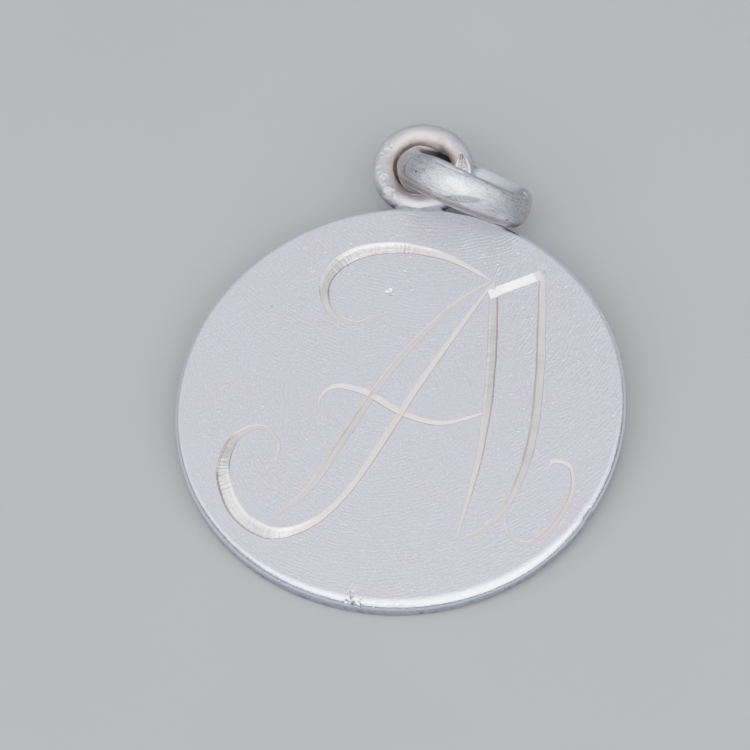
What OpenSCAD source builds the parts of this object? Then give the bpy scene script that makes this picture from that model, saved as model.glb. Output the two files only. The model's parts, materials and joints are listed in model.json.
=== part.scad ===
// A silver initial pendant that lies face up: an engraved disc with a soldered eye, and a heavy jump ring.
// The surface that it lies on is at z = 0, and the eye points along +Y.
// The jump ring leans over the rim and lies under the eye, so the disc rests a little tilted on it.

/* [Disc] */
// Diameter of the disc
disc_d = 25; // [18:0.5:32]
// Thickness of the disc
disc_t = 1.1; // [0.9:0.05:1.8]
// Radius of the worn edges on both faces
edge_r = 0.36; // [0.1:0.02:0.42]

/* [Eye] */
// Outer diameter of the round eye
eye_d = 5.8; // [5.6:0.02:7.5]
// Diameter of the eye's wire
eye_wire = 1.28; // [0.9:0.02:1.34]
// How far the eye is let into the rim
eye_sink = 0.25; // [0.1:0.01:0.5]
// Width of the solder foot where it meets the rim
foot_w = 3.1; // [2.4:0.1:4]
// Width of the solder foot where it meets the eye
foot_top_w = 2.5; // [1.6:0.1:2.8]
// Thickness of the solder foot
foot_t = 0.96; // [0.6:0.02:1]

/* [Jump ring] */
// Outer diameter of the jump ring
ring_d = 7.84; // [7.2:0.02:10]
// Width of the ring's oval band, along the ring's axis
band_w = 2.12; // [1.4:0.02:2.3]
// Thickness of the band, from the ring's inside to its outside
band_t = 1.1; // [0.8:0.05:1.25]

/* [Rest] */
// Angle between the ring's plane and the surface
ring_lean = 55.5; // [45:0.5:62]
// How far the ring is turned clockwise, seen from above
ring_turn = 25; // [15:1:35]
// Place of the band in the eye's hole, along X and Y, as a share of the hole's radius
band_place = [-0.3, -0.04]; // [-0.4:0.01:0.4]
// Height kept between the ring's lower bar and the eye's wire above it
rest_gap = 0.42; // [0.36:0.02:0.8]
// Sideways tilt of the disc, which rests on its rim and on the ring
disc_roll = -1.1; // [-2:0.1:0]

/* [Engraving] */
// Width of the widest cut
cut_w = 0.9; // [0.4:0.05:1.2]
// Depth of a cut as a share of its width
cut_slope = 0.2; // [0.1:0.01:0.35]
// Width of the flat bright cut at the head of the stem
flat_cut_w = 0.52; // [0.3:0.02:0.8]
// Depth of the flat bright cut on its deep side
flat_cut_depth = 0.13; // [0.05:0.01:0.2]

/* [Hidden] */
$fn = 96;
band_sides = 48;
silver = "#c9c8ce";
worn_silver = "#b9b8bc";

disc_r = disc_d / 2;
edge = min(edge_r, 0.45 * disc_t);
wire_r = eye_wire / 2;
eye_r = eye_d / 2 - wire_r;
eye_y = disc_r + eye_d / 2 - eye_sink;
hole_r = eye_r - wire_r;

// Half the height of the leaning oval band, measured straight up
band_high = norm([band_t * sin(ring_lean), band_w * cos(ring_lean)]) / 2;
ring_r = (ring_d - band_t) / 2;

// The eye lies on the ring's lower bar, which rises from its lowest point to where the wire crosses it
along = [cos(ring_turn), -sin(ring_turn)];
away = [sin(ring_turn), cos(ring_turn)];
band_at = hole_r * band_place;
bar_off = band_at * away + ring_r * cos(ring_lean);
cross_at = band_at * along + ring_r - sqrt(max(0, pow(eye_r, 2) - pow(bar_off, 2)));
cross_rise = ring_r * sin(ring_lean) * (1 - sqrt(max(0, 1 - pow(cross_at / ring_r, 2))));
wire_z = 2 * band_high + cross_rise + rest_gap + wire_r;
disc_tilt = asin((wire_z - disc_t / 2) / (disc_r + eye_y));

// The disc's normal, and how far the disc and the eye reach from the disc's mid-point in a direction
face = [cos(disc_tilt) * sin(disc_roll), -sin(disc_tilt), cos(disc_tilt) * cos(disc_roll)];
eye_at = eye_y * [sin(disc_tilt) * sin(disc_roll), cos(disc_tilt), sin(disc_tilt) * cos(disc_roll)];
function disc_reach(way) =
    (disc_r - edge) * sqrt(1 - pow(face * way, 2)) + (disc_t / 2 - edge) * abs(face * way) + edge;
function eye_reach(way) = eye_at * way + eye_r * sqrt(1 - pow(face * way, 2)) + wire_r;
disc_at = [0, (disc_reach([0, 1, 0]) - eye_reach([0, 1, 0])) / 2, disc_reach([0, 0, 1])];

ring_at = [
    disc_at.x + eye_at.x + band_at.x + ring_r * along.x,
    disc_at.y + eye_at.y + band_at.y + ring_r * along.y,
    ring_r * sin(ring_lean) + band_high
];

// Strokes of the initial, as rows of [x, y, width]: x and y are shares of the disc's radius,
// and the width is a share of the widest cut
left_leg_outer = [
    [0.36, 0.63, 0.22], [0.17, 0.47, 0.34], [-0.06, 0.16, 0.48], [-0.23, -0.17, 0.55],
    [-0.36, -0.42, 0.45], [-0.50, -0.57, 0.24]
];
left_leg_inner = [
    [0.37, 0.63, 0.22], [0.25, 0.42, 0.36], [0.07, 0.09, 0.50], [-0.09, -0.24, 0.52],
    [-0.22, -0.47, 0.45], [-0.37, -0.61, 0.60], [-0.54, -0.64, 0.86], [-0.68, -0.53, 1.00],
    [-0.75, -0.36, 0.90], [-0.72, -0.20, 0.60], [-0.61, -0.13, 0.34], [-0.52, -0.20, 0.26],
    [-0.53, -0.31, 0.14]
];
stem_left = [
    [0.37, 0.62, 0.60], [0.385, 0.35, 0.66], [0.39, 0.05, 0.62], [0.37, -0.25, 0.46],
    [0.33, -0.50, 0.28], [0.30, -0.64, 0.12]
];
stem_right = [
    [0.585, 0.68, 0.50], [0.60, 0.40, 0.58], [0.61, 0.10, 0.62], [0.59, -0.20, 0.60],
    [0.53, -0.43, 0.48], [0.43, -0.58, 0.34], [0.31, -0.65, 0.16]
];
exit_stroke = [
    [0.50, -0.50, 0.16], [0.53, -0.61, 0.24], [0.62, -0.65, 0.34], [0.72, -0.56, 0.42],
    [0.79, -0.41, 0.36], [0.78, -0.28, 0.30], [0.70, -0.25, 0.28], [0.67, -0.32, 0.16]
];
cross_stroke = [
    [-0.30, -0.10, 0.14], [-0.36, 0.00, 0.22], [-0.30, 0.08, 0.34], [-0.16, 0.06, 0.46],
    [0.02, -0.04, 0.44], [0.20, -0.08, 0.30], [0.385, -0.02, 0.16]
];
entry_stroke = [
    [-0.14, 0.45, 0.14], [-0.23, 0.40, 0.26], [-0.35, 0.46, 0.46], [-0.38, 0.61, 0.74],
    [-0.27, 0.74, 0.94], [-0.07, 0.785, 0.80], [0.15, 0.745, 0.50], [0.36, 0.635, 0.20]
];
flat_cut_ends = [[0.345, 0.585], [0.57, 0.69]];
// Each stroke's deepest line lies this share of its width to the left of its middle
deep_side = 0.24;
strokes = [
    [left_leg_outer, -deep_side], [left_leg_inner, deep_side], [stem_left, deep_side],
    [stem_right, -deep_side], [exit_stroke, deep_side], [cross_stroke, -deep_side],
    [entry_stroke, -deep_side]
];
// Sections between two rows of a stroke, and how far a stroke's cutter stands above the face
cut_steps = 5;
cut_over = 0.04;

// Worn marks, as rows of [x, y, radius, depth]: shares of the disc's radius, then millimetres
marks = [
    [-0.125, -0.955, 0.60, 0.26], [0.875, -0.49, 0.50, 0.30],
    [-0.089, 0.559, 0.35, 0.07], [-0.569, 0.416, 0.22, 0.05]
];

// A smooth curve through the rows of a table, with cut_steps sections for each row
function row(table, i) = table[min(max(i, 0), len(table) - 1)];
function between(a, b, c, d, t) =
    b + 0.5 * t * ((c - a) + t * (2 * a - 5 * b + 4 * c - d + t * (3 * b - 3 * c + d - a)));
function course(table) = [
    for (i = [0 : len(table) - 2], k = [0 : cut_steps - 1])
        between(row(table, i - 1), table[i], table[i + 1], row(table, i + 2), k / cut_steps),
    table[len(table) - 1]
];

// A three-sided cutter that follows a stroke: its lower edge is the cut's deepest line
module engraved_stroke(table, deep) {
    path = course(table);
    last = len(path) - 1;
    corners = [
        for (i = [0 : last])
            let (
                ahead = path[min(i + 1, last)] - path[max(i - 1, 0)],
                left = [-ahead.y, ahead.x] / norm([ahead.x, ahead.y]),
                w = path[i].z * cut_w,
                depth = w * cut_slope,
                reach = 1 + cut_over / depth,
                at = [path[i].x, path[i].y] * disc_r,
                left_edge = at + left * w * (deep + (0.5 - deep) * reach),
                right_edge = at + left * w * (deep - (0.5 + deep) * reach),
                low = at + left * w * deep
            )
            each [
                [left_edge.x, left_edge.y, cut_over],
                [right_edge.x, right_edge.y, cut_over],
                [low.x, low.y, -depth]
            ]
    ];
    walls = [
        for (i = [0 : last - 1], side = [0 : 2])
            let (a = 3 * i + side, b = 3 * i + (side + 1) % 3)
            each [[a, a + 3, b], [b, a + 3, b + 3]]
    ];
    polyhedron(corners, concat([[0, 1, 2]], walls, [[3 * last + 2, 3 * last + 1, 3 * last]]));
}

// The flat bright cut: a straight slice whose floor slopes down to one long side
module flat_cut() {
    a = flat_cut_ends[0] * disc_r;
    b = flat_cut_ends[1] * disc_r;
    slope = atan(flat_cut_depth / flat_cut_w);
    translate([a.x, a.y, 0]) rotate([0, 0, atan2(b.y - a.y, b.x - a.x)])
        rotate([slope, 0, 0]) translate([0, -flat_cut_w / cos(slope), 0])
            cube([norm(b - a), flat_cut_w / cos(slope), flat_cut_w]);
}

// Blank of the disc, with its middle at the origin
module disc_blank() {
    rotate_extrude() translate([0, -disc_t / 2]) {
        square([disc_r - edge, disc_t]);
        translate([0, edge]) square([disc_r, disc_t - 2 * edge]);
        for (z = [edge, disc_t - edge]) translate([disc_r - edge, z]) circle(edge);
    }
}

// The eye is a round ring of round wire, in the plane of the disc, on a solder foot
module eye() {
    translate([0, eye_y, 0]) rotate_extrude() translate([eye_r, 0]) circle(wire_r);
}

module solder_foot() {
    rim_y = sqrt(pow(disc_r, 2) - pow(foot_w / 2, 2)) - edge;
    top_y = eye_y - sqrt(pow(eye_r, 2) - pow(foot_top_w / 2, 2));
    linear_extrude(foot_t, center = true)
        polygon([[-foot_w / 2, rim_y], [foot_w / 2, rim_y], [foot_top_w / 2, top_y], [-foot_top_w / 2, top_y]]);
}

module wear_marks() {
    for (m = marks) translate([m[0] * disc_r, m[1] * disc_r, disc_t / 2 + m[2] - m[3]]) sphere(m[2]);
}

module engraved_disc() {
    color(silver) translate(disc_at) rotate([disc_tilt, disc_roll, 0]) difference() {
        union() {
            disc_blank();
            eye();
            solder_foot();
        }
        translate([0, 0, disc_t / 2]) {
            for (s = strokes) engraved_stroke(s[0], s[1]);
            flat_cut();
        }
        wear_marks();
    }
}

// Outline of the oval band, with its middle at the origin
module band() {
    polygon([for (i = [0 : band_sides - 1]) let (turn = 360 * i / band_sides)
        [band_t / 2 * cos(turn), band_w / 2 * sin(turn)]]);
}

module jump_ring() {
    color(worn_silver) translate(ring_at) rotate([-ring_lean, 0, -ring_turn])
        rotate_extrude() translate([ring_r, 0]) band();
}

engraved_disc();
jump_ring();
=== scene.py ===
"""Looks of a silver initial pendant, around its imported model: engraved disc, soldered eye and jump ring."""
import json
import bpy
import numpy as np
from bpy.props import FloatProperty, FloatVectorProperty, PointerProperty
from mathutils import Matrix


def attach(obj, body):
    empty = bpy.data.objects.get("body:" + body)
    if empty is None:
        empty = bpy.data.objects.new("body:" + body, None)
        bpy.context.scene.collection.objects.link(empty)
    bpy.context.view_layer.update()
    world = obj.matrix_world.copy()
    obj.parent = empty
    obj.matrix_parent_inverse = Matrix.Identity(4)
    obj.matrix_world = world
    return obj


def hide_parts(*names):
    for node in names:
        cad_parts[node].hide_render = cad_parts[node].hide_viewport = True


bl_info = {
    "name": "Initial pendant",
    "version": (1, 0, 0),
    "blender": (4, 5, 0),
    "location": "View3D > Sidebar > Pendant",
    "description": "Makes the disc, the eye and the jump ring of a worn silver pendant on a plain stage",
    "category": "Add Mesh",
}

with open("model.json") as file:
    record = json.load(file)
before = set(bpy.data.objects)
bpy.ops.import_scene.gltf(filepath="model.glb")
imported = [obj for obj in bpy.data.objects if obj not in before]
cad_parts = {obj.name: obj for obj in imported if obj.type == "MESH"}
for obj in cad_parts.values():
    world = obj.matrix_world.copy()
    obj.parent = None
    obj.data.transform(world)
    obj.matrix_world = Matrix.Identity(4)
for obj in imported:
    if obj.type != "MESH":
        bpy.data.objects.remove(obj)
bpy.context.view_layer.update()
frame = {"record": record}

MM = 0.001

# Strokes of the initial, as rows of [x, y, width]: shares of the disc's radius, and of the widest cut's width
LEFT_LEG_OUTER = [
    [0.36, 0.63, 0.22], [0.17, 0.47, 0.34], [-0.06, 0.16, 0.48], [-0.23, -0.17, 0.55],
    [-0.36, -0.42, 0.45], [-0.50, -0.57, 0.24],
]
LEFT_LEG_INNER = [
    [0.37, 0.63, 0.22], [0.25, 0.42, 0.36], [0.07, 0.09, 0.50], [-0.09, -0.24, 0.52],
    [-0.22, -0.47, 0.45], [-0.37, -0.61, 0.60], [-0.54, -0.64, 0.86], [-0.68, -0.53, 1.00],
    [-0.75, -0.36, 0.90], [-0.72, -0.20, 0.60], [-0.61, -0.13, 0.34], [-0.52, -0.20, 0.26],
    [-0.53, -0.31, 0.14],
]
STEM_LEFT = [
    [0.37, 0.62, 0.60], [0.385, 0.35, 0.66], [0.39, 0.05, 0.62], [0.37, -0.25, 0.46],
    [0.33, -0.50, 0.28], [0.30, -0.64, 0.12],
]
STEM_RIGHT = [
    [0.585, 0.68, 0.50], [0.60, 0.40, 0.58], [0.61, 0.10, 0.62], [0.59, -0.20, 0.60],
    [0.53, -0.43, 0.48], [0.43, -0.58, 0.34], [0.31, -0.65, 0.16],
]
EXIT_STROKE = [
    [0.50, -0.50, 0.16], [0.53, -0.61, 0.24], [0.62, -0.65, 0.34], [0.72, -0.56, 0.42],
    [0.79, -0.41, 0.36], [0.78, -0.28, 0.30], [0.70, -0.25, 0.28], [0.67, -0.32, 0.16],
]
CROSS_STROKE = [
    [-0.30, -0.10, 0.14], [-0.36, 0.00, 0.22], [-0.30, 0.08, 0.34], [-0.16, 0.06, 0.46],
    [0.02, -0.04, 0.44], [0.20, -0.08, 0.30], [0.385, -0.02, 0.16],
]
ENTRY_STROKE = [
    [-0.14, 0.45, 0.14], [-0.23, 0.40, 0.26], [-0.35, 0.46, 0.46], [-0.38, 0.61, 0.74],
    [-0.27, 0.74, 0.94], [-0.07, 0.785, 0.80], [0.15, 0.745, 0.50], [0.36, 0.635, 0.20],
]
# Each stroke with the side of its steep wall: 1 is left of the way it runs, -1 is right
STROKES = [
    (LEFT_LEG_OUTER, -1), (LEFT_LEG_INNER, 1), (STEM_LEFT, 1), (STEM_RIGHT, -1), (EXIT_STROKE, 1),
    (CROSS_STROKE, -1), (ENTRY_STROKE, -1),
]
FLAT_CUT_ENDS = [[0.345, 0.585], [0.57, 0.69]]
# Widths between which a hairline turns into a wide cut, and one beat of the graver's chatter, in millimetres
WIDE_CUT = (0.42, 0.66)
CHATTER_BEAT = 0.27

# Pits of the nick in the rim, as rows of [x, y, radius, depth, lip] in millimetres
NICK_PITS = [
    [-1.68, -11.75, 0.12, 0.10, 0.020],
    [-1.56, -12.04, 0.13, 0.05, 0.020],
    [-1.92, -11.90, 0.10, 0.04, 0.015],
    [-1.12, -11.78, 0.10, 0.03, 0.010],
]
# Ridges beside the nick, as rows of [x, y, x, y, half width, height] in millimetres. A scratch has a height
# below zero
NICK_RIDGES = [
    [-1.76, -11.10, -1.72, -11.18, 0.080, 0.020],
    [-1.46, -11.13, -1.62, -11.32, 0.070, 0.024],
    [-2.00, -11.72, -1.86, -11.68, 0.080, 0.020],
    [-1.48, -11.76, -1.42, -11.92, 0.070, 0.024],
    [-1.24, -11.95, -1.04, -12.24, 0.045, -0.045],
]
# Bright and dark blots beside the nick, with the last rows at the burr on the flat cut's right end, as rows
# of [x, y, half length, half width, angle]: millimetres, then degrees. The bright blots are painted
# highlights on the burrs; the first dark blot is a stain in the nick and the others are painted shadows.
BRIGHT_BLOTS = [
    [-1.75, -11.14, 0.12, 0.07, 50],
    [-1.53, -11.21, 0.20, 0.07, 50],
    [-1.92, -11.68, 0.18, 0.10, 20],
    [-1.40, -11.84, 0.14, 0.10, -60],
    [-1.10, -12.04, 0.20, 0.06, -52],
    [7.40, 8.80, 0.12, 0.07, 20],
    [7.28, 9.00, 0.10, 0.05, 60],
]
DARK_BLOTS = [
    [-1.69, -11.72, 0.15, 0.06, 82],
    [-1.74, -11.46, 0.14, 0.04, 80],
    [-1.93, -11.90, 0.10, 0.05, -10],
    [-2.10, -11.93, 0.08, 0.04, 0],
    [-1.55, -12.03, 0.12, 0.05, 0],
    [-1.16, -12.08, 0.19, 0.035, -54],
    [-1.12, -11.79, 0.12, 0.04, 5],
    [7.42, 8.56, 0.12, 0.04, -75],
]
# Angle of the step where the rim is rubbed flat, in degrees, and how far the flat runs on from it
RIM_STEP = -27.6
RIM_FLAT = 5.5
# Pits cut into the face, as rows of [x, y, radius, depth, darkness]: x and y are shares of the disc's radius,
# radius and depth are in millimetres
FACE_PITS = [
    [-0.089, 0.559, 0.35, 0.07, 0.25],
    [-0.611, 0.469, 0.12, 0.03, 0.9],
]
# Dents in the eye, as rows of [angle round the eye, angle round its wire, radius, depth]: degrees, then
# millimetres
EYE_DENTS = [
    [206, 88, 0.28, 0.030],
    [205, 89, 0.13, -0.022],
    [188, 70, 0.20, 0.012],
    [166, 80, 0.15, 0.024],
    [159, 94, 0.22, 0.026],
    [149, 106, 0.12, 0.030],
    [228, 58, 0.34, 0.030],
    [112, 70, 0.20, 0.012],
]
# Swells on the eye's inner side, as rows of [angle round the eye, spread round the eye, spread round its
# wire, height]: degrees, radians for both spreads, millimetres
EYE_SWELLS = [
    [195, 0.75, 0.95, 0.21],
    [72, 0.50, 0.80, 0.15],
]
# Angle round the eye of the place where its outer side is thinned, in degrees
EYE_THINNED = 72
# Power of the superellipse that the solder foot's section follows
FOOT_POWER = 3.5
# Pits in the jump ring, as rows of [angle round the ring, angle round its band, radius, depth]: degrees, then
# millimetres
RING_PITS = [
    [240, -3, 0.13, 0.015],
    [338, -35, 0.11, 0.090],
    [150, 30, 0.15, 0.040],
]
# Rounded and thick places on the ring's upper edge, as rows of [angle round the ring, spread, angle round its
# band, spread, depth]: degrees, then millimetres
RING_WEAR = [
    [210, 20, 75, 36, 0.30],
    [342, 22, 85, 34, 0.20],
    [262, 25, 85, 28, -0.14],
]

# Shades that the finishes below are blended with
BRUSH_LINE = (0.51, 0.475, 0.62)
# Painted shade on the disc's side wall: lighter at its top, darker at its foot
WALL_SHADE_TOP = (0.27, 0.30, 0.37)
WALL_SHADE_FOOT = (0.09, 0.105, 0.15)
BURR_SHADOW = (0.31, 0.27, 0.28)
CUT_COOL = (0.86, 0.80, 0.88)
CUT_LINE = (0.64, 0.56, 0.56)
CUT_LINE_PALE = (0.92, 0.87, 0.86)
CUT_FAR_EDGE = (0.40, 0.35, 0.38)
FLAT_CUT_LINE = (0.50, 0.49, 0.50)
FLAT_CUT_END = (0.30, 0.31, 0.32)
FACE_PIT = (0.20, 0.19, 0.21)
EYE_CLOUD = (0.56, 0.54, 0.58)
# Painted shade on the eye: its right side, its top and its lower left
EYE_RIGHT_SHADE = (0.33, 0.315, 0.37)
EYE_TOP_SHADE = (0.22, 0.21, 0.24)
EYE_LOW_SHADE = (0.26, 0.25, 0.28)
GOUGE_WALL = (0.36, 0.29, 0.25)
RING_CLOUD = (0.57, 0.565, 0.61)
# Painted bluish highlight on the ring's far bar
FAR_BAR_HIGHLIGHT = (0.74, 0.78, 0.87)
# Painted shade at the ring's right end
RIGHT_END_SHADE = (0.24, 0.235, 0.26)
RING_SCRATCH = (0.20, 0.20, 0.23)
RING_GLINT = (0.80, 0.80, 0.84)
RING_GRAIN = (0.16, 0.155, 0.17)
# The ring's rubbed place: partly rubbed metal, partly a painted highlight
RUBBED_PLACE_HIGHLIGHT = (0.84, 0.84, 0.86)
DARK_PLACE = (0.12, 0.12, 0.14)
RING_LIP = (0.40, 0.335, 0.28)
# Painted shade on the ring's inside, seen through the eye
FAR_INSIDE_SHADE = (0.26, 0.21, 0.17)
# Painted shade along the near bar's lower edge
LOW_EDGE_SHADE = (0.055, 0.043, 0.037)
# Painted shade along the near bar's top edge
TOP_EDGE_SHADE = (0.26, 0.26, 0.29)
# Painted shade in the ring's groove
RING_GROOVE_SHADE = (0.11, 0.095, 0.09)
# Painted shade on the inside of the ring's band
BAND_INSIDE_SHADE = (0.08, 0.07, 0.07)
RING_PIT = (0.06, 0.05, 0.05)
FLOOR_MOTTLE = (0.5, 0.5, 0.5)

# Half the floor's width, in metres
FLOOR_REACH = 2.5
# Softboxes, as rows of name, setting of their power, azimuth and elevation in degrees, distance and size in
# metres, and colour
SOFTBOXES = [
    ("key", "key_power", 6, 52, 0.60, (1.30, 0.50), (0.98, 0.99, 1.0)),
    ("left", "side_power", -80, 44, 0.60, (0.50, 0.50), (0.88, 0.94, 1.0)),
    ("right", "side_power", 92, 44, 0.60, (0.50, 0.50), (0.88, 0.94, 1.0)),
    ("top", "top_power", 5, 80, 0.60, (0.26, 0.20), (1.0, 1.0, 1.0)),
    ("back", "back_power", 180, 28, 0.80, (2.2, 0.62), (0.80, 0.85, 1.0)),
    ("ceiling", "ceiling_power", -159, 78, 0.80, (1.3, 1.2), (1.0, 0.99, 1.0)),
]


def length_property(name, description, default):
    """A length in metres."""
    return FloatProperty(name=name, description=description, default=default, unit="LENGTH")


def share_property(name, description, default, low=0.0, high=0.5):
    """A share of another size, between two limits."""
    return FloatProperty(name=name, description=description, default=default, min=low, max=high)


def power_property(name, description, default):
    """A light's power in watts."""
    return FloatProperty(name=name, description=description, default=default, unit="POWER")


def angle_property(name, description, degrees):
    """An angle, given here in degrees."""
    return FloatProperty(name=name, description=description, default=np.radians(degrees), subtype="ANGLE")


def colour_property(name, description, default):
    """A linear colour with three channels."""
    return FloatVectorProperty(
        name=name, description=description, default=default, subtype="COLOR", min=0, max=1
    )


class DiscSettings(bpy.types.PropertyGroup):
    """Sizes of the disc and of its engraving."""

    diameter: length_property("Diameter", "Diameter of the disc", 25 * MM)
    thickness: length_property("Thickness", "Thickness of the disc", 1.1 * MM)
    edge: length_property("Edge", "Radius of the worn back edge", 0.33 * MM)
    shoulder: length_property("Shoulder", "How far in from the rim the front edge is worn", 0.66 * MM)
    shoulder_drop: length_property("Shoulder drop", "How far down the front edge is worn", 0.20 * MM)
    cut_width: length_property("Cut width", "Width of the widest cut", 0.9 * MM)
    cut_slope: share_property("Cut slope", "Depth of a wide cut as a share of its width", 0.19, low=0.02)
    deep_side: share_property(
        "Deep side", "How far a cut's deepest line lies off its middle, as a share of its width", 0.36,
        high=0.45,
    )
    flat_cut_width: length_property(
        "Flat cut width", "Width of the flat cut at the head of the stem", 0.52 * MM
    )
    flat_cut_depth: length_property("Flat cut depth", "Depth of the flat cut on its deep side", 0.13 * MM)
    chatter: share_property(
        "Chatter", "How much the graver chattered in the wide cuts, as a share of their depth", 0.13
    )


class EyeSettings(bpy.types.PropertyGroup):
    """Sizes of the soldered eye and its foot."""

    diameter: length_property("Diameter", "Outer diameter of the eye", 5.8 * MM)
    wire: length_property("Wire", "Diameter of the eye's wire", 1.28 * MM)
    sink: length_property("Sink", "How far the eye is let into the rim", 0.25 * MM)
    foot_width: length_property("Foot width", "Width of the solder foot at the rim", 3.1 * MM)
    foot_top_width: length_property("Foot top width", "Width of the solder foot at the eye", 2.5 * MM)
    foot_thickness: length_property("Foot thickness", "Thickness of the solder foot", 0.96 * MM)
    lumps: length_property("Lumps", "How deep the eye's uneven surface dips", 0.035 * MM)


class RingSettings(bpy.types.PropertyGroup):
    """Sizes of the jump ring."""

    diameter: length_property("Diameter", "Outer diameter", 7.84 * MM)
    band_width: length_property("Band width", "Width of the oval band, along the ring's axis", 2.12 * MM)
    band_thickness: length_property("Band thickness", "Thickness of the oval band", 1.1 * MM)
    groove: length_property("Groove", "Depth of the worn line beside the band's lip", 0.07 * MM)
    lumps: length_property("Lumps", "How deep the ring's uneven surface dips", 0.02 * MM)


class FinishSettings(bpy.types.PropertyGroup):
    """Colours of the metal."""

    satin: colour_property("Satin silver", "Brushed face of the disc", (0.66, 0.61, 0.83))
    satin_cool: colour_property("Cool silver", "Cooler patches of the disc", (0.635, 0.625, 0.87))
    satin_warm: colour_property("Warm silver", "Warmer patches of the disc", (0.69, 0.61, 0.775))
    # Rubbed rim: partly polished metal, partly a painted bluish highlight; it also paints the burrs'
    # highlights
    rim: colour_property("Rubbed rim", "Rubbed front edge of the disc", (0.76, 0.83, 1.0))
    nick: colour_property("Nick", "Stain in the nick", (0.22, 0.11, 0.14))
    bright: colour_property("Bright silver", "Bright cuts and rubbed places", (0.95, 0.94, 0.93))
    cut: colour_property("Cut silver", "Engraved strokes", (0.97, 0.82, 0.80))
    cut_warm: colour_property("Warm cut", "Pink tarnish in the engraved strokes", (0.95, 0.70, 0.675))
    cut_brown: colour_property(
        "Cut's low line", "Brown tarnish along the low line of a stroke", (0.38, 0.275, 0.27)
    )
    worn_bright: colour_property("Pale silver", "Pale worn metal of the eye", (0.50, 0.48, 0.55))
    worn: colour_property("Worn silver", "Worn metal of the jump ring", (0.46, 0.46, 0.53))
    tan: colour_property("Tan", "Light tarnish inside the eye and in its gouge", (0.66, 0.54, 0.45))
    # Tarnish, which also paints shade on the eye's lower inner wall and in its hole
    tarnish: colour_property("Tarnish", "Brown tarnish in corners", (0.17, 0.11, 0.07))


class StageSettings(bpy.types.PropertyGroup):
    """Floor, light and camera."""

    floor: colour_property("Floor", "Colour of the pale floor", (0.175, 0.175, 0.18))
    key_power: power_property("Key", "Power of the softbox in front", 16.5)
    side_power: power_property("Sides", "Power of the softbox on either side", 2.6)
    back_power: power_property("Back", "Power of the softbox behind", 4.5)
    top_power: power_property("Top", "Power of the softbox above", 1.3)
    ceiling_power: power_property("Ceiling", "Power of the wide softbox above", 3.3)
    room: FloatProperty(
        name="Room", description="Brightness of the room around the stage", default=0.15, min=0
    )
    azimuth: angle_property("Azimuth", "How far the camera stands to the right of the front", 11.6)
    elevation: angle_property("Elevation", "Height of the camera above the horizon", 58.0)
    roll: angle_property("Roll", "How far the picture is turned", 7.4)
    distance: length_property("Distance", "From the disc's middle to the camera", 350 * MM)
    lens: FloatProperty(name="Lens", description="Focal length of the camera", default=304.6, unit="CAMERA")
    aim: FloatVectorProperty(
        name="Aim", description="Middle of the picture, right of and above the disc's middle", size=2,
        default=(-1.395 * MM, 1.914 * MM), unit="LENGTH",
    )


class PendantSettings(bpy.types.PropertyGroup):
    """All the settings of the pendant."""

    disc: PointerProperty(type=DiscSettings)
    eye: PointerProperty(type=EyeSettings)
    ring: PointerProperty(type=RingSettings)
    finish: PointerProperty(type=FinishSettings)
    stage: PointerProperty(type=StageSettings)


def mount(name):
    """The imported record's mount of that name."""
    return next(m for m in frame["record"]["mounts"] if m["name"] == name)


def unit(vectors):
    """Vectors of length 1 that point the same way."""
    return vectors / np.linalg.norm(vectors, axis=-1, keepdims=True)


def way_out(turn, lift):
    """Vectors of length 1 at a turn about Z and a lift above the level: (cos l cos t, cos l sin t, sin l)."""
    return np.stack([np.cos(lift) * np.cos(turn), np.cos(lift) * np.sin(turn), np.sin(lift) + 0 * turn], -1)


def once_round(count):
    """Even angles once round a circle, without the last, which is the first again."""
    return np.linspace(0, 2 * np.pi, count, endpoint=False)


def apart(angle, centre, turn=2 * np.pi):
    """How far an angle lies past a centre, from half a turn before it to half a turn after it."""
    return (angle - centre + turn / 2) % turn - turn / 2


def disc_axes(thickness):
    """Mid-point of the disc, and a matrix whose columns are its right, its way to the eye and its normal.

    The back face's mount gives the normal. A disc that is tilted by t about X and rolled by r about Y has its
    right at (cos r, 0, -sin r), and r follows from the normal's X and Z."""
    back = mount("back_face")
    normal = -np.array(back["axis"])
    roll = np.arctan2(normal[0], normal[2])
    right = np.array([np.cos(roll), 0, -np.sin(roll)])
    middle = np.array(back["pos_m"]) + normal * thickness / 2
    return middle, np.column_stack([right, np.cross(normal, right), normal])


def ring_axes():
    """Middle of the jump ring, and a matrix with its level and steep diameters and its axis as columns."""
    opening = mount("ring_opening")
    axis = np.array(opening["axis"])
    level = unit(np.array([axis[1], -axis[0], 0]))
    return np.array(opening["pos_m"]), np.column_stack([level, np.cross(axis, level), axis])


def ripple(points, seed, size, waves=28):
    """An uneven field of about -1 to 1: a sum of plane waves in all directions, about as long as size."""
    draw = np.random.default_rng(seed)
    ways = unit(draw.normal(size=(waves, 3)))
    turns = 2 * np.pi / size * draw.uniform(0.6, 1.6, waves)
    phases = draw.uniform(0, 2 * np.pi, waves)
    return np.sin(points @ (ways * turns[:, None]).T + phases).sum(-1) / np.sqrt(waves)


def step(value, low, high):
    """Smooth step: 0 below low, 1 above high, and 3s^2 - 2s^3 of the share s between them."""
    share = np.clip((value - low) / (high - low), 0, 1)
    return share * share * (3 - 2 * share)


def bell(away, width):
    """1 in the middle, falling off on both sides as exp(-(away / width)^2)."""
    return np.exp(-((away / width) ** 2))


def dent(away, radius, lip):
    """Depth of a round dent at a distance from its middle: a bowl (1 - q^2)^2, less a lip at its edge."""
    q = away / radius
    return (1 - np.minimum(q, 1) ** 2) ** 2 - lip * bell(q - 1.15, 0.3)


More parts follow.
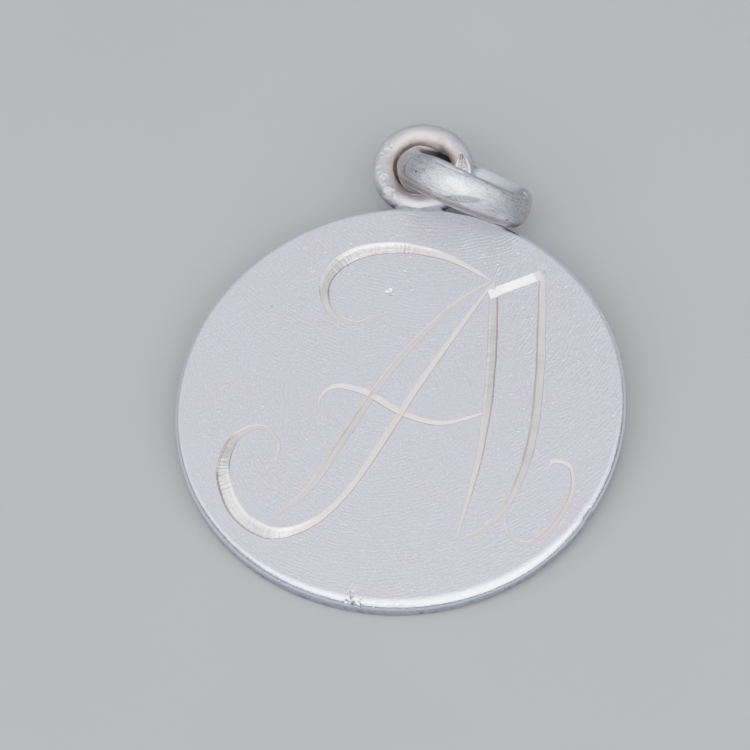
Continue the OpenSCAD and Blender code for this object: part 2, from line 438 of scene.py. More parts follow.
def crowded(count, centres, crowding, spread):
    """Angles once round a circle that are denser near some centres.

    They are the inverse of the running sum of a density, which is 1 plus a bell at each centre."""
    fine = np.linspace(0, 2 * np.pi, 7201)
    away = np.abs(apart(fine[:, None], np.array(centres)))
    density = 1 + crowding * bell(away, spread).sum(1)
    total = np.concatenate([[0], np.cumsum((density[1:] + density[:-1]) / 2)])
    return np.interp(np.arange(count) / count, total / total[-1], fine)


def grid_faces(rows, columns, ring_of_rows):
    """Quads of a grid whose columns close on themselves.

    Its rows do so too in a ring of rows. In other grids flat caps close the first and the last row."""
    row = np.arange(rows if ring_of_rows else rows - 1)[:, None] * columns
    ahead = (row + columns) % (rows * columns)
    column = np.arange(columns)[None]
    beside = (column + 1) % columns
    quads = np.stack([row + column, ahead + column, ahead + beside, row + beside], -1).reshape(-1, 4)
    last = (rows - 1) * columns
    caps = [list(range(columns)), list(range(last + columns - 1, last - 1, -1))]
    return quads.tolist() + ([] if ring_of_rows else caps)


def as_map(first, second):
    """A mesh's map whose two parts are fields over a grid of points."""
    return np.stack(np.broadcast_arrays(first, second), -1).reshape(-1, 2)


def empty_maps(grid, *names):
    """Maps of these names in which every point of a grid lies at 0, 0."""
    return {name: np.zeros((grid[..., 0].size, 2)) for name in names}


def read(items, name, width=1, kind=np.int32):
    """One property of all the items of a mesh, as an array, with a row for each item if it holds several."""
    values = np.empty(len(items) * width, kind)
    items.foreach_get(name, values)
    return values.reshape(-1, width) if width > 1 else values


def make_piece(name, grid, middle, axes, material, maps, ring_of_rows=False):
    """A closed mesh object at the origin from a grid of points in a piece's own frame.

    Its faces point outwards: where the sum of the signed volumes of its triangles is negative, they are
    flipped. maps holds arrays of map name to a place in that map for each point."""
    mesh = bpy.data.meshes.new(name)
    points = grid @ axes.T + middle
    mesh.from_pydata(points.reshape(-1, 3).tolist(), [], grid_faces(*grid.shape[:2], ring_of_rows))
    corners = read(mesh.loops, "vertex_index")
    for layer, places in maps.items():
        mesh.uv_layers.new(name=layer).data.foreach_set("uv", places[corners].astype(np.float32).ravel())
    mesh.update()
    if signed_volume(mesh) < 0:
        mesh.flip_normals()
    mesh.materials.append(material)
    piece = bpy.data.objects.new(name, mesh)
    bpy.context.scene.collection.objects.link(piece)
    return piece


def signed_volume(mesh):
    """Sum over the triangles of a . (b x c) / 6, which is negative where the faces point inwards."""
    mesh.calc_loop_triangles()
    corners = read(mesh.loop_triangles, "vertices", 3)
    places = read(mesh.vertices, "co", 3, np.float32).astype(float)
    a, b, c = places[corners].transpose(1, 0, 2)
    return (a * np.cross(b, c)).sum() / 6


def shade(piece, angle):
    """Smooth shading, with a sharp edge where two faces differ in finish or meet at more than the angle.

    Each edge of a closed mesh has two face corners, so sorting the corners by edge pairs the faces up."""
    mesh = piece.data
    corners = read(mesh.loops, "edge_index")
    totals = read(mesh.polygons, "loop_total")
    finish = read(mesh.polygons, "material_index")
    normals = read(mesh.polygons, "normal", 3, np.float32)
    order = np.argsort(corners, kind="stable")
    if len(corners) != 2 * len(mesh.edges):
        raise RuntimeError(f"{piece.name} isn't closed: an edge has one face, or three")
    pairs = np.repeat(np.arange(len(totals)), totals)[order].reshape(-1, 2)
    first, second = normals[pairs].transpose(1, 0, 2)
    hard = ((first * second).sum(1) < np.cos(angle)) | (finish[pairs[:, 0]] != finish[pairs[:, 1]])
    mesh.shade_smooth()
    sharp = mesh.attributes.get("sharp_edge") or mesh.attributes.new("sharp_edge", "BOOLEAN", "EDGE")
    sharp.data.foreach_set("value", hard)


def settle(piece, node):
    """Makes the piece ride on the frame in place of a CAD node, which is hidden."""
    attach(piece, "root")
    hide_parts(node)


def course(table, steps):
    """A smooth curve through the rows of a table, with steps sections for each row.

    Between rows b and c, with a before and d after, a share t of the way gives
    b + t/2 ((c - a) + t (2a - 5b + 4c - d + t (3b - 3c + d - a)))."""
    rows = np.array(table)
    a, b = np.vstack([rows[:1], rows[:-2]])[:, None], rows[:-1, None]
    c, d = rows[1:, None], np.vstack([rows[2:], rows[-1:]])[:, None]
    t = (np.arange(steps) / steps)[:, None]
    path = b + 0.5 * t * ((c - a) + t * (2 * a - 5 * b + 4 * c - d + t * (3 * b - 3 * c + d - a)))
    return np.vstack([path.reshape(-1, 3), rows[-1:]])


def saw(way):
    """A saw wave that climbs slowly from 0 to 1 and falls back quickly, over each unit of the way."""
    part = way % 1
    return np.where(part < 0.8, part / 0.8, (1 - part) / 0.2)


def stroke_cutter(table, side, size, seed):
    """Corners of the cutter of one engraved stroke, six for each section of its course, and their maps.

    A section lies across the course: a steep wall on the deep side, a floor that climbs from the low line to
    a small step at the other edge, and both walls running on in line above the face. The width tapers to a
    point at both ends and wavers a little. In wide cuts the depth and the far edge chatter as a saw wave of
    the way along. One map holds the way along the course and the place across, from 1 at the steep edge to -1
    at the other. A second map holds the width and a number of the stroke's own."""
    steps, over = 64, 0.03 * MM
    path = course(table, steps)
    at = path[:, :2] * size.diameter / 2
    ahead = unit(np.gradient(at, axis=0))
    left = np.stack([-ahead[:, 1], ahead[:, 0]], 1)
    way = np.concatenate([[0], np.cumsum(np.linalg.norm(np.diff(at, axis=0), axis=1))])
    line = np.column_stack([way, np.full_like(way, seed * MM), 0 * way])
    taper = np.sqrt(step(np.minimum(way, way[-1] - way), -0.02 * MM, 0.9 * MM))
    width = path[:, 2] * size.cut_width * taper * (1 + 0.03 * ripple(line, seed, 1.4 * MM))
    wide = step(width, WIDE_CUT[0] * MM, WIDE_CUT[1] * MM)
    pace = way / (CHATTER_BEAT * MM) + 0.6 * ripple(line, seed + 50, 1.1 * MM)
    beat = saw(pace) * (0.6 + 0.4 * ripple(line, seed + 70, 0.9 * MM))
    depth = width * size.cut_slope * (0.62 + 0.38 * wide) * (1 - size.chatter * wide * beat)
    across = np.array([size.deep_side, 0.12, -0.14, -0.42])
    deep = np.array([1, 0.74, 0.48, 0.2])
    steep = (0.5 - size.deep_side) * width / depth
    step_out = 0.08 * width / (deep[-1] * depth)
    scallop = 0.015 * wide * beat * width
    far_edge = -0.5 * width - np.minimum(over * step_out, over) - scallop
    offsets = np.column_stack([0.5 * width + over * steep, width[:, None] * across, far_edge])
    shift = width * 0.02 * ripple(line, seed + 100, 2.2 * MM)
    middle = at + left * shift[:, None]
    corners = middle[:, None] + left[:, None] * (side * offsets)[..., None]
    heights = np.column_stack([0 * depth + over, -depth[:, None] * deep, 0 * depth + over])
    points = np.concatenate([corners, heights[..., None]], -1)
    place = as_map(way[:, None] / MM, 2 * offsets / width[:, None])
    return points, {"Cut": place, "CutKind": as_map(width[:, None] / MM + 0 * offsets, seed)}


def flat_cutter(size):
    """Corners of the cutter of the flat cut: a four-cornered section carried along a straight line.

    Its floor slopes down from the line to the full depth across the width, and runs on above the face on the
    shallow side. The long sides waver a little. One map holds the way along and the place across, from 0 at
    the line to 1 at the deep side. The second is empty."""
    start, end = np.array(FLAT_CUT_ENDS) * size.diameter / 2
    whole = np.linalg.norm(end - start)
    ahead = (end - start) / whole
    right = np.array([ahead[1], -ahead[0]])
    part = np.linspace(0, 1, 60)
    line = np.column_stack([part * whole, 0 * part, 0 * part])
    lip = 0.02 * size.flat_cut_width * ripple(line, 31, 2.0 * MM)
    width = size.flat_cut_width * (1 + 0.02 * ripple(line, 32, 2.0 * MM))
    over, beyond = 0.3 * MM, 0.3
    near = lip - beyond * width
    offsets = np.stack([near, width, width + 0.03 * MM, near - 0.05 * MM], 1)
    heights = np.array([beyond * size.flat_cut_depth, -size.flat_cut_depth, over, over]) + 0 * offsets
    middle = start + part[:, None] * (end - start)
    corners = middle[:, None] + right * offsets[..., None]
    points = np.concatenate([corners, heights[..., None]], -1)
    place = as_map(part[:, None] * whole / MM, np.array([-beyond, 1, 1.3, -beyond]))
    return points, {"Cut": place, "CutKind": 0 * place}


def pit_cutter(row, size, seed):
    """A lumpy pebble that is sunk into the face: a ball whose radius wavers with a ripple of its direction.

    Its rows run from pole to pole, and the poles are closed by small caps."""
    x, y, radius, depth, stain = row
    lift = np.linspace(-1, 1, 26)[1:-1, None] * np.pi / 2
    way = way_out(once_round(40)[None], lift)
    ball = way * radius * MM * (1 + 0.12 * ripple(way, seed, 1.2)[..., None])
    points = ball + np.array([x * size.diameter / 2, y * size.diameter / 2, (radius - depth) * MM])
    place = (way[..., :2] * radius).reshape(-1, 2)
    return points, {"Cut": place, "CutKind": 0 * place + stain}


def disc_blank(size):
    """The disc before it is engraved, as a profile turned about its axis, in the disc's own frame.

    From the face inwards of the rim the profile runs out flat, down a worn shoulder as a power of the share
    of its width, round a tight bend (a quadratic curve through its corner), down the side, round a quarter
    circle and in along the back. On the face's side the distance from the rim is scaled down, least at the
    low right front, so the shoulder is widest there. The rim moves in at the low front, most on the face's
    side, and out at the right front, each as a bell over the angle, and the flat face takes that up. The
    turning angles are crowded where the rim is marked. The side wavers, and is rubbed flat past a step. The
    nick is a sum of round pits with lips, and of ridges and scratches that fall off as a bell with the
    distance from a short line."""
    radius, edge, half = size.diameter / 2, size.edge, size.thickness / 2
    worn, drop, bend, bow = size.shoulder, size.shoulder_drop, 0.15 * MM, 2.2
    slope = bow * drop / worn
    inner, brink = radius - 1.6 * MM, radius - bend - worn
    quarter = np.linspace(0, np.pi / 2, 19)
    flat = np.linspace(inner, brink, 18)[:-1]
    part = np.linspace(0, 1, 26)
    over = np.linspace(0, 1, 7)[1:]
    low = half - drop - bend * (slope + 1.2 * over**2)
    side = np.linspace(low[-1], edge - half, 7)[1:-1]
    back = np.array([radius - edge - 0.15 * MM, radius - edge - 0.6 * MM])
    out = np.concatenate([
        flat, brink + worn * part, radius - bend * (1 - over) ** 2, np.full(side.shape, radius),
        radius - edge + edge * np.cos(quarter), back,
    ])
    high = np.concatenate([
        np.full(flat.shape, half), half - drop * part**bow, low + bend * slope * (1 - over) ** 2,
        side, edge - half - edge * np.sin(quarter), np.full(back.shape, -half),
    ])
    pits = np.array(NICK_PITS) * MM
    nick = np.arctan2(pits[0, 1], pits[0, 0])
    turn = crowded(680, [nick, np.radians(RIM_STEP)], 8, 0.07)
    degrees = np.degrees(turn)
    height = step(high, -half, half - drop)[:, None]
    drawn_in = np.where((high > 0)[:, None], 0.42 + 0.38 * bell(degrees - 290, 45), 1)
    reach = radius - (radius - out)[:, None] * drawn_in
    rim = step(out, inner, brink)[:, None]
    lean = 0.27 * MM * bell(degrees - 257, 32) * (0.6 + 0.4 * height)
    reach -= rim * (lean - 0.10 * MM * bell(degrees - 318, 26))
    points = reach[..., None] * way_out(turn, 0) + high[:, None, None] * np.array([0, 0, 1.0])
    waver = 0.5 - 0.3 * ripple(points * [1, 1, 0], 3, 9 * MM)
    fine = 0.5 - 0.3 * ripple(points, 4, 1.1 * MM)
    past = apart(np.radians(RIM_STEP), turn)
    rubbed = step(past, -0.002, 0.012) * (1 - step(past, np.radians(RIM_FLAT) * 0.4, np.radians(RIM_FLAT)))
    wear = rim * (0.016 * MM * waver + 0.010 * MM * fine + 0.075 * MM * rubbed)
    points -= way_out(turn, 0) * wear[..., None]
    face = step(points[..., 2], 0, half - edge)
    for x, y, wide, deep, lip in pits:
        uneven = 1 + 0.25 * ripple(points, int(-x * 1e5), 0.3 * MM)
        away = np.hypot(points[..., 0] - x, points[..., 1] - y) * uneven
        points[..., 2] -= face * dent(away, wide, lip / deep) * deep
    for x0, y0, x1, y1, wide, rise in np.array(NICK_RIDGES) * MM:
        ahead = np.array([x1 - x0, y1 - y0])
        place = points[..., :2] - [x0, y0]
        along = np.clip(place @ ahead / (ahead @ ahead), 0, 1)
        away = np.linalg.norm(place - along[..., None] * ahead, axis=-1)
        points[..., 2] += face * rise * bell(away, wide)
    return points


def carve(blank, cutters):
    """Cuts the closed cutters out of the blank, exactly, and leaves the result as a plain mesh."""
    tools = bpy.data.collections.new("cutters")
    for cutter in cutters:
        bpy.context.scene.collection.objects.unlink(cutter)
        tools.objects.link(cutter)
    cut = blank.modifiers.new("engraving", "BOOLEAN")
    cut.operation = "DIFFERENCE"
    cut.operand_type = "COLLECTION"
    cut.collection = tools
    cut.solver = "MANIFOLD"
    cut.material_mode = "TRANSFER"
    graph = bpy.context.evaluated_depsgraph_get()
    before = len(blank.data.polygons)
    carved = bpy.data.meshes.new_from_object(blank.evaluated_get(graph))
    blank.modifiers.clear()
    blank.data = carved
    for cutter in cutters:
        bpy.data.objects.remove(cutter)
    bpy.data.collections.remove(tools)
    if len(carved.polygons) <= before:
        raise RuntimeError("the engraving wasn't cut into the disc")


class Value:
    """One output of a shader node, with Python's operators as Math nodes."""

    def __init__(self, shader, socket):
        self.shader = shader
        self.socket = socket

    def __add__(self, other):
        return self.shader.maths("ADD", self, other)

    def __sub__(self, other):
        return self.shader.maths("SUBTRACT", self, other)

    def __rsub__(self, other):
        return self.shader.maths("SUBTRACT", other, self)

    def __mul__(self, other):
        return self.shader.maths("MULTIPLY", self, other)

    def __pow__(self, other):
        return self.shader.maths("POWER", self, other)

    def __rpow__(self, other):
        return self.shader.maths("POWER", other, self)

    def __abs__(self):
        return self.shader.maths("ABSOLUTE", self)

    __radd__ = __add__
    __rmul__ = __mul__

    def over(self, low, high):
        """Smooth step from 0 at low to 1 at high, which may lie below low."""
        flip = high < low
        limits = {"From Min": min(low, high), "From Max": max(low, high)}
        ends = {"To Min": 1.0 if flip else 0.0, "To Max": 0.0 if flip else 1.0}
        return self.shader.node(
            "ShaderNodeMapRange", {"interpolation_type": "SMOOTHSTEP"}, {"Value": self, **limits, **ends}
        )


class Shader:
    """The node tree of one material."""

    def __init__(self, name):
        self.material = bpy.data.materials.new(name)
        self.material.use_nodes = True
        self.tree = self.material.node_tree
        self.tree.nodes.clear()
        self.surface = self.tree.nodes.new("ShaderNodeBsdfPrincipled")
        output = self.tree.nodes.new("ShaderNodeOutputMaterial")
        self.tree.links.new(self.surface.outputs["BSDF"], output.inputs["Surface"])

    def node(self, kind, settings=None, values=None, output=0):
        """A node of that kind: its settings are set first, then its sockets are given values or links."""
        node = self.tree.nodes.new(kind)
        for name, setting in (settings or {}).items():
            setattr(node, name, setting)
        for key, value in (values or {}).items():
            self.feed(self.socket(node.inputs, key), value)
        return Value(self, self.socket(node.outputs, output))

    def socket(self, sockets, key):
        """A socket by its number, or by its identifier or name."""
        if isinstance(key, int):
            return sockets[key]
        return next(s for s in sockets if key in (s.identifier, s.name))

    def feed(self, socket, value):
        """Links a value to a socket, or sets the socket to a number, colour or vector."""
        if isinstance(value, Value):
            self.tree.links.new(value.socket, socket)
        else:
            socket.default_value = (*value, 1.0) if socket.type == "RGBA" else value

    def set(self, **inputs):
        """Feeds the surface's own sockets, whose names are written with underscores."""
        for name, value in inputs.items():
            self.feed(self.surface.inputs[name.replace("_", " ")], value)
        return self.material

    def maths(self, operation, *values):
        """A Math node on these values."""
        return self.node("ShaderNodeMath", {"operation": operation}, dict(enumerate(values)))

    def mix(self, share, first, second):
        """A colour that share takes from the first to the second."""
        values = {"Factor_Float": share, "A_Color": first, "B_Color": second}
        return self.node("ShaderNodeMix", {"data_type": "RGBA"}, values, "Result_Color")

    def layers(self, tone, *rows):
        """A colour with others laid over it in turn, from rows of a share and a colour."""
        for share, colour in rows:
            tone = self.mix(share, tone, colour)
        return tone

    def vector(self, x, y, z=0.0):
        """A vector from three values."""
        return self.node("ShaderNodeCombineXYZ", None, {0: x, 1: y, 2: z})

    def noise(self, vector, scale=1.0, detail=2.0, rough=0.5):
        """Noise of about 0 to 1 at a vector."""
        values = {"Vector": vector, "Scale": scale, "Detail": detail, "Roughness": rough}
        return self.node("ShaderNodeTexNoise", None, values)

    def bump(self, height, distance):
        """A normal from a height, where a height of 1 stands for the distance."""
        return self.node("ShaderNodeBump", None, {"Strength": 1.0, "Distance": distance, "Height": height})

    def places(self, middle, axes):
        """Place on the object in a piece's own frame, in millimetres, as a vector and its three parts."""
        raw = self.node("ShaderNodeTexCoord", None, None, "Object")
        turned = Matrix(axes.tolist()).to_euler("XYZ")
        values = {"Vector": raw, "Location": tuple(middle), "Rotation": tuple(turned), "Scale": (MM, MM, MM)}
        place = self.node("ShaderNodeMapping", {"vector_type": "TEXTURE"}, values)
        return place, *self.parts(place)

    def map(self, name):
        """Place in one of the mesh's own maps, as its two parts."""
        return self.parts(self.node("ShaderNodeUVMap", {"uv_map": name}))[:2]

    def parts(self, vector):
        """The three parts of a vector."""
        split = self.node("ShaderNodeSeparateXYZ", None, {0: vector}).socket.node
        return [Value(self, s) for s in split.outputs]


def arcs(shader, x, y, centre, seed):
    """Fine brush arcs about a centre.

    They are a noise that is dense outwards and long round the centre, and a wave of the drifting distance."""
    right, up = x - centre[0], y - centre[1]
    out = (right * right + up * up) ** 0.5
    turn = shader.maths("ARCTAN2", up, right)
    drift = shader.noise(shader.vector(x, y, seed), 0.5, 1.0) * 0.5
    far = out + drift
    wave = shader.maths("SINE", far * 30.0)
    broken = shader.noise(shader.vector(far * 10.5, turn * out * 1.5, seed), 1.0, 1.0, 0.5)
    return broken * 0.7 + wave * 0.07 + 0.15


def blot(x, y, ragged, row):
    """Share of a ragged oval blot: all within it, falling to none past its edge.

    The distance is the root of (a / length)^2 + (b / width)^2 along and across it, shifted by a noise."""
    across, upward, length, width, angle = row
    c, s = np.cos(np.radians(angle)), np.sin(np.radians(angle))
    right, up = x - across, y - upward
    a, b = (right * c + up * s) * (1 / length), (up * c - right * s) * (1 / width)
    return ((a * a + b * b) ** 0.5 + (ragged - 0.5) * 1.6).over(1.3, 0.6)


def satin_silver(finish, middle, axes, size):
    """Brushed silver of the disc, with a rubbed edge and painted shade on the side wall.

    The rubbed edge is partly polished metal and partly a painted bluish highlight. The face has arcs round
    three centres, bright specks and hairline scratches. The blots beside the nick and at the flat cut lie
    over
    it all: painted highlights on the burrs, a stain in the nick and painted shadows."""
    shader = Shader("satin silver")
    place, x, y, z = shader.places(middle, axes)
    out = (x * x + y * y) ** 0.5
    radius = size.diameter / 2 / MM
    side = z.over(0.24, 0.06) * out.over(radius - 0.7, radius - 0.5)
    edge = z.over(0.54, 0.46) * (1 - side)
    patch = shader.noise(place, 0.16, 1.0)
    patch_b = shader.noise(shader.vector(x + 40, y, z), 0.22, 1.0)
    patch_c = shader.noise(shader.vector(x, y + 40, z), 0.55, 2.0)
    low = arcs(shader, x, y, (-1.0, 1.0), 1.0)
    high = arcs(shader, x, y, (1.0, 19.0), 5.0)
    far = arcs(shader, x, y, (-5.0, 11.0), 9.0)
    at_top = (y * 0.09 + patch * 2.6).over(1.45, 1.85)
    at_right = (x * 0.09 + patch_b * 2.6).over(1.65, 2.0)
    brushed = (low * (1 - at_top) + high * at_top) * (1 - at_right) + far * at_right
    upper_right = x.over(0.5, 5.0) * y.over(-3.0, 3.0)
    strength = 0.40 + 0.22 * patch_c.over(0.40, 0.64) + 0.25 * at_right + 0.45 * upper_right
    grain = shader.noise(place, 7.5, 2.0, 0.7)
    dots = shader.node("ShaderNodeTexVoronoi", None, {"Vector": place, "Scale": 1.9}, "Distance")
    speck = dots.over(0.13, 0.05) * patch_c.over(0.46, 0.6)
    streak = shader.noise(shader.vector(x * 0.35 + y * 0.2, y * 2.4 - x * 1.6, 3.0), 0.8, 3.0)
    scratch = abs(streak - 0.5).over(0.005, 0.0) * patch_c.over(0.5, 0.6)
    around = shader.maths("ARCTAN2", y, x)
    round_side = shader.noise(shader.vector(out * 2, around * 7.0, z * 16), 1.0, 3.0, 0.65)
    mottle = shader.noise(place, 2.6, 3.0, 0.7)
    # Painted shade on the side wall, darker towards its foot and varied by two noises
    wall = shader.mix(z.over(0.12, -0.35), WALL_SHADE_TOP, WALL_SHADE_FOOT)
    ragged = shader.noise(place, 6.0, 2.0, 0.7)
    # Painted highlights on the burrs beside the nick and at the flat cut's right end
    bright = [(blot(x, y, ragged, row) * 0.85, finish.rim) for row in BRIGHT_BLOTS]
    stain = [(blot(x, y, ragged, DARK_BLOTS[0]) * 0.9, finish.nick)]
    dark = [(blot(x, y, ragged, row) * 0.9, BURR_SHADOW) for row in DARK_BLOTS[1:]]
    tone = shader.layers(
        finish.satin,
        (patch_b.over(0.35, 0.65), finish.satin_cool),
        (patch_c.over(0.45, 0.72) * 0.5, finish.satin_warm),
        (brushed.over(0.38, 0.62) * strength * 0.7, BRUSH_LINE),
        (grain.over(0.50, 0.68) * 0.5, finish.bright),
        (grain.over(0.48, 0.34) * 0.45, BRUSH_LINE),
        (speck * 0.7 + scratch * 0.5, finish.bright),
        # Rubbed front edge: partly polished metal, partly a painted bluish highlight
        (edge, finish.rim),
        (side * (0.45 + 0.35 * round_side + 0.3 * mottle.over(0.5, 0.62)), wall),
        *bright, *stain, *dark,
    )
    rough = 0.40 + 0.08 * brushed - 0.22 * edge - 0.14 * speck - 0.04 * side
    height = brushed * strength * (1 - edge) * (1 - side) + 0.6 * grain + 0.8 * speck - 0.6 * scratch
    height = height + side * round_side * 0.8
    relief = shader.bump(height, 0.023 * MM)
    return shader.set(Base_Color=tone, Metallic=1.0, Roughness=rough, Normal=relief)


def cut_silver(finish):
    """Metal of the engraved strokes: warm, with graver lines along, chatter across and brown low lines."""
    shader = Shader("cut silver")
    way, across = shader.map("Cut")
    width, number = shader.map("CutKind")
    wide = width.over(*WIDE_CUT)
    band = shader.noise(shader.vector(way * 3.6, across * 0.5, number), 1.0, 2.0)
    flash = band.over(0.44, 0.54)
    lines = shader.noise(shader.vector(way * 0.35, across * 4.5, number + 20), 1.0, 2.0)
    patch = shader.noise(shader.vector(way * 0.32, number * 3.1, 0.5), 1.0, 1.0)
    fine = shader.noise(shader.vector(way * 2.2, across * 2.0, number + 7), 1.0, 3.0, 0.7)
    low = across.over(0.48, 0.66)
    far = across.over(-0.68, -0.82)
    tone = shader.layers(
        finish.cut,
        (patch.over(0.42, 0.6) * 0.7, finish.cut_warm),
        (across.over(-0.05, -0.35) * 0.5, CUT_COOL),
        (wide * (0.45 + 0.55 * flash), finish.bright),
        (lines.over(0.50, 0.60) * 0.4, CUT_LINE),
        (lines.over(0.44, 0.34) * 0.5, CUT_LINE_PALE),
        (low * (0.5 + 0.5 * patch), finish.cut_brown),
        (far * 0.85, CUT_FAR_EDGE),
        (fine.over(0.62, 0.72) * 0.35, finish.cut_brown),
    )
    relief = shader.bump(lines * 0.5 + band * wide * 1.5 + fine * 0.4, 0.012 * MM)
    return shader.set(Base_Color=tone, Metallic=1.0, Roughness=0.44 - 0.22 * wide, Normal=relief)


def flat_cut_silver(finish):
    """Mirror-bright metal of the flat cut and the pits, with a few faint lines. Some pits are dark."""
    shader = Shader("bright cut silver")
    way, across = shader.map("Cut")
    dark, _ = shader.map("CutKind")
    lines = shader.noise(shader.vector(way * 4.0 + across * 2.4, across * 0.8 - way, 2.0), 1.0, 3.0, 0.6)
    faint = 0.15 + 0.45 * way.over(1.3, 0.6)
    tone = shader.layers(
        finish.bright,
        (lines.over(0.56, 0.64) * faint, FLAT_CUT_LINE),
        (way.over(2.65, 2.80) * 0.85, FLAT_CUT_END),
        (dark, FACE_PIT),
    )
    return shader.set(Base_Color=tone, Metallic=1.0, Roughness=0.22)


def eye_silver(finish, middle, axes, size, eye_middle):
    """Pale worn silver of the eye and foot, with brown tarnish inside the eye and in the solder's corners.

    Painted shade darkens the eye's right side, its top and its lower left, and painted shade in the tarnish
    colour lies on the lower inner wall and deep in the hole, less towards the top.
    """
    shader = Shader("eye silver")
    place, x, y, z = shader.places(middle, axes)
    up = y - eye_middle / MM
    out = (x * x + up * up) ** 0.5
    line = (size.diameter - size.wire) / 2 / MM
    wire = size.wire / 2 / MM
    inner = out.over(line - wire * 0.05, line - wire * 0.60)
    # Painted shade on the lower inner wall and deep in the hole, laid on below in the tarnish colour
    lower_inner_shade = inner * z.over(0.10, -0.15)
    hole_shade = shader.maths("MAXIMUM", lower_inner_shade, out.over(line - wire * 0.88, line - wire))
    cloud = shader.noise(place, 1.1, 2.0)
    fine = shader.noise(place, 6.0, 3.0, 0.65)
    grit = shader.noise(place, 20.0, 2.0, 0.6)
    wedge, along = shader.map("Wear")
    corner = up.over(-2.25, -2.6) * abs(x).over(1.0, 1.4)
    spots = fine.over(0.62, 0.70) * cloud.over(0.5, 0.6) * 0.4
    stain = shader.maths("MINIMUM", corner * 0.7 * fine.over(0.42, 0.52) + spots, 1.0)
    tone = shader.layers(
        finish.worn_bright,
        (cloud.over(0.35, 0.7), EYE_CLOUD),
        # Painted shade: darker to the right (less on top of the wire), on the top and at the lower left
        (x.over(-1.8, 0.4) * (0.6 - 0.35 * z.over(0.35, 0.6)), EYE_RIGHT_SHADE),
        (up.over(0.6, 1.8) * 0.4, EYE_TOP_SHADE),
        (up.over(-0.8, -1.7) * x.over(-0.4, -1.2) * 0.8, EYE_LOW_SHADE),
        (fine.over(0.5, 0.7) * 0.25, finish.bright),
        (stain * 0.8, finish.tarnish),
        (wedge.over(0.05, 0.3) * wedge.over(0.95, 0.7) * 0.45, GOUGE_WALL),
        (wedge.over(0.6, 0.9) * fine.over(0.48, 0.56) * 0.8, finish.tan),
        (wedge.over(0.1, 0.4) * along.over(0.45, 0.15) * 0.8, finish.tarnish),
        (wedge.over(-0.04, -0.2) * 0.9, finish.bright),
        (inner * (0.45 + 0.45 * cloud), finish.tan),
        (inner * cloud.over(0.5, 0.62) * 0.35, finish.tarnish),
        # Painted shade in the tarnish colour, lighter towards the top
        (hole_shade * (0.9 - 0.7 * up.over(0.0, 1.2)), finish.tarnish),
    )
    rough = 0.42 + 0.14 * fine + 0.1 * up.over(0.6, 1.8)
    relief = shader.bump(fine + 0.3 * grit, 0.014 * MM)
    return shader.set(Base_Color=tone, Metallic=1.0, Roughness=rough, Normal=relief)


